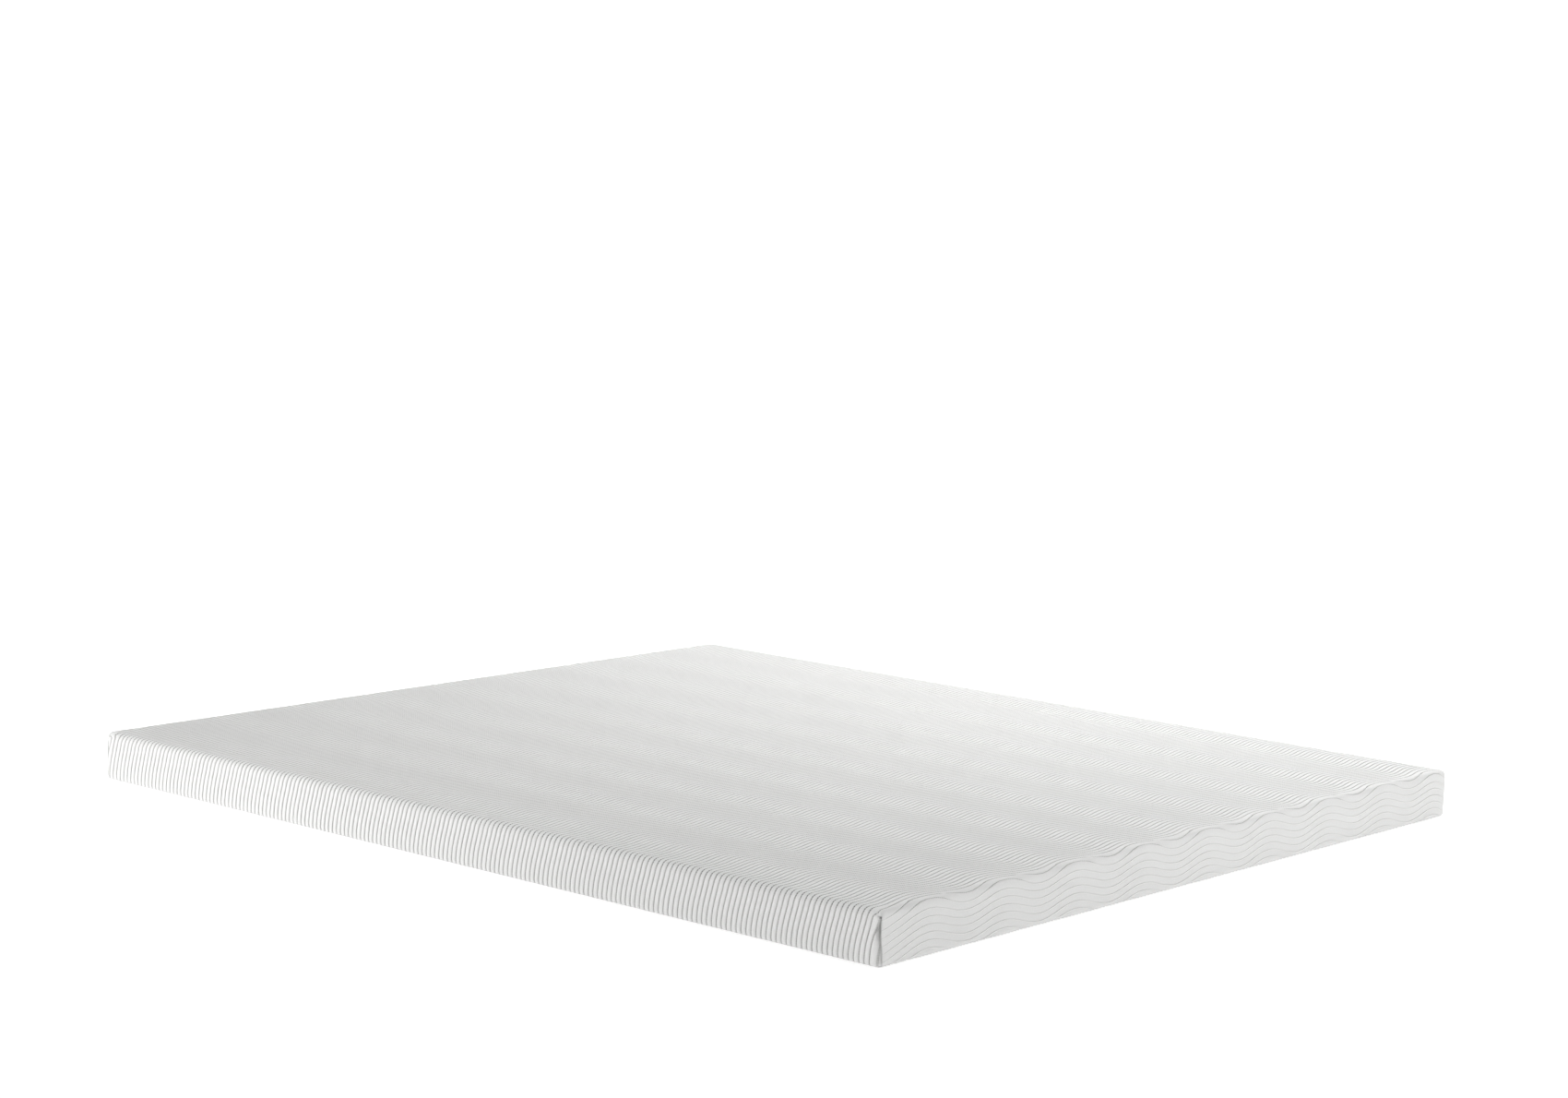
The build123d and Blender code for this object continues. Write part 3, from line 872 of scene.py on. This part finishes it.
def woven(name, light, dark, period):
    """Plain weave of a given thread period."""
    paint = Paint(name, 0.9, sheen=0.1)
    u, v = paint.cloth()
    over = paint.math("MULTIPLY", paint.ripple(u, period), paint.ripple(v, period))
    cloud = paint.noise(14.0, 3.0)
    share = paint.math("ADD", paint.math("MULTIPLY", over, 0.3), cloud)
    color = paint.blend(share, dark, light)
    height = paint.math("MULTIPLY", over, period * 0.12)
    height = paint.math("ADD", height, paint.math("MULTIPLY", paint.noise(1200.0), 0.00006))
    return paint.finish(color, height)


def foam(name, light, dark, cell):
    """Open cells of two sizes."""
    paint = Paint(name, 0.95)
    fine = paint.node("ShaderNodeTexVoronoi", Vector=paint.spot(), Scale=1 / cell)
    coarse = paint.node("ShaderNodeTexVoronoi", Vector=paint.spot(), Scale=0.3 / cell)
    cells = paint.math("ADD", fine.outputs[0], paint.math("MULTIPLY", coarse.outputs[0], 0.5))
    color = paint.blend(paint.math("MULTIPLY", cells, 0.7), light, dark)
    return paint.finish(color, paint.math("MULTIPLY", cells, -cell * 0.3))


def plain(name, light, dark, roughness, grain):
    """A moulded or painted surface with faint mottling and handling marks."""
    paint = Paint(name, roughness, specular=0.5)
    mottle = paint.noise(grain, 4.0)
    color = paint.blend(mottle, dark, light)
    swing = 0.1
    rough = paint.mad(mottle, swing, roughness - swing / 2)
    return paint.finish(color, paint.math("MULTIPLY", paint.noise(grain * 4), 0.00002), rough)


def thread():
    """Twisted sewing thread."""
    paint = Paint("sewing_thread", 0.8, sheen=0.2)
    made = paint.node("ShaderNodeTexWave", Vector=paint.spot(), Scale=900.0, Distortion=1.0)
    made.bands_direction = "DIAGONAL"
    color = paint.blend(made.outputs[1], (0.62, 0.62, 0.61), (0.76, 0.76, 0.75))
    return paint.finish(color, paint.math("MULTIPLY", made.outputs[1], 0.00006))


def dress(piece, coat, node):
    """Give a piece its material and its place in the part."""
    piece.data.materials.append(coat)
    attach(piece, BODY)
    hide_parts(node)


dress(cover, ribbed_knit(), "cover_top")
thread_coat = thread()
for node, piece in seams.items():
    dress(piece, thread_coat, node)
base_cloth = woven("base_cloth", (0.72, 0.72, 0.71), (0.6, 0.6, 0.59), 0.0011)
dress(soft["cover_base"], base_cloth, "cover_base")
for node, piece in patches.items():
    dress(piece, base_cloth, node)
liner_cloth = woven("liner_jersey", (0.8, 0.8, 0.78), (0.7, 0.7, 0.68), 0.0014)
for node in ("liner_upper", "liner_lower"):
    dress(soft[node], liner_cloth, node)
memory_coat = foam("memory_foam", (0.86, 0.83, 0.7), (0.7, 0.66, 0.52), 0.0011)
dress(soft["memory_foam"], memory_coat, "memory_foam")
support_coat = foam("support_foam", (0.78, 0.83, 0.86), (0.6, 0.66, 0.7), 0.0018)
dress(soft["base_foam"], support_coat, "base_foam")
tape_cloth = woven("zip_tape_cloth", (0.74, 0.74, 0.73), (0.6, 0.6, 0.59), 0.0008)
for node, piece in tapes.items():
    dress(piece, tape_cloth, node)
nylon = plain("zip_nylon", (0.76, 0.76, 0.75), (0.66, 0.66, 0.65), 0.4, 300.0)
for node, piece in coils.items():
    dress(piece, nylon, node)

enamel = plain("zip_enamel", (0.72, 0.72, 0.71), (0.6, 0.6, 0.6), 0.35, 220.0)
glue = plain("dried_glue", (0.85, 0.82, 0.7), (0.7, 0.66, 0.52), 0.5, 25.0)
carried = {node: enamel for node in ("zip_slider", "zip_pull", "zip_top_stops", "zip_bottom_stop")}
carried["bond_film"] = glue
for node, coat in carried.items():
    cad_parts[node].data.materials.clear()
    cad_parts[node].data.materials.append(coat)


# Stage: a pale floor that curves up far away on every side


def make_floor():
    """A flat disc with a rim that bends up to a wall."""
    flat, bend = 12.0, 8.0
    turn = np.linspace(0, 2 * math.pi, 65)
    rise = np.linspace(0, QUARTER, 13)[1:]
    radius = np.concatenate([[0.0, flat / 3, flat], flat + bend * np.sin(rise)])
    height = np.concatenate([[0.0, 0.0, 0.0], bend - bend * np.cos(rise)])
    r, t = np.meshgrid(radius, turn)
    z, _ = np.meshgrid(height, turn)
    points = np.stack([r * np.cos(t), r * np.sin(t), z], axis=-1).reshape(-1, 3)
    return mesh_piece("floor", points, grid_quads(*r.shape))


floor = make_floor()


def pale_floor():
    """White paint that glows, more so towards the far walls."""
    paint = Paint("floor_paint", 0.9)
    reach = paint.node("ShaderNodeVectorMath", Vector=paint.spot())
    reach.operation = "LENGTH"
    far = paint.fade(reach.outputs["Value"], 10.0, 3.0)
    paint.shader.inputs["Emission Color"].default_value = (1, 1, 1, 1)
    paint.feed(paint.shader.inputs["Emission Strength"], paint.mad(far, 0.30, 0.46))
    color = paint.blend(paint.noise(0.5, 4.0), (0.84, 0.84, 0.84), (0.86, 0.86, 0.86))
    return paint.finish(color, paint.math("MULTIPLY", paint.noise(2.0), 0.00002))


floor.data.materials.append(pale_floor())

# Camera at the photo's place
EYE = (-4.985, -4.287, 1.364)
LENS = 76.6
yaw, pitch, roll = (math.radians(a) for a in (40.729, 7.461, -1.852))
ahead = Vector((math.cos(yaw) * math.cos(pitch), math.sin(yaw) * math.cos(pitch), -math.sin(pitch)))
right = Vector((math.sin(yaw), -math.cos(yaw), 0))
down = ahead.cross(right)
side = math.cos(roll) * right + math.sin(roll) * down
below = math.cos(roll) * down - math.sin(roll) * right
camera = bpy.data.objects.new("camera", bpy.data.cameras.new("camera"))
camera.data.lens = LENS
camera.data.sensor_width = 36
facing = Matrix((side, -below, -ahead)).transposed().to_4x4()
camera.matrix_world = Matrix.Translation(EYE) @ facing
bpy.context.scene.collection.objects.link(camera)
bpy.context.scene.camera = camera

# Light
scene = bpy.context.scene
scene.view_settings.view_transform = "Standard"
world = bpy.data.worlds.new("studio")
scene.world = world
world.use_nodes = True
sky = world.node_tree.nodes["Background"]
sky.inputs["Color"].default_value = (1, 1, 1, 1)
sky.inputs["Strength"].default_value = 0.34


def area_light(name, place_at, aim, size, power, spread=180):
    """A soft rectangular lamp, in watts and degrees of spread, that the camera doesn't see."""
    lamp = bpy.data.lights.new(name, "AREA")
    lamp.shape = "RECTANGLE"
    lamp.size, lamp.size_y = size
    lamp.energy = power
    lamp.spread = math.radians(spread)
    made = bpy.data.objects.new(name, lamp)
    made.location = place_at
    made.rotation_euler = (Vector(aim) - Vector(place_at)).to_track_quat("-Z", "Y").to_euler()
    made.visible_camera = False
    scene.collection.objects.link(made)


def sun(name, towards, angle, strength):
    """Parallel light in a direction, softened over an angle in degrees."""
    lamp = bpy.data.lights.new(name, "SUN")
    lamp.energy = strength
    lamp.angle = math.radians(angle)
    made = bpy.data.objects.new(name, lamp)
    made.rotation_euler = Vector(towards).to_track_quat("-Z", "Y").to_euler()
    scene.collection.objects.link(made)


sun("key", (0.72, -0.52, -0.42), 12, 0.36)
area_light("left", (-3.0, 1.5, 0.6), (-0.9, 0.6, 0.05), (1.0, 0.8), 9.8, 90)
area_light("back_right", (1.8, 0.4, 1.7), (0.5, 0.3, 0.1), (3.4, 0.8), 44)
area_light("front", (0.2, -2.1, 0.5), (0.15, -1.0, 0.05), (0.6, 0.4), 0.9)
area_light("overhead", (0.7, -1.0, 2.8), (0.5, -0.8, 0.0), (2.4, 2.4), 41)
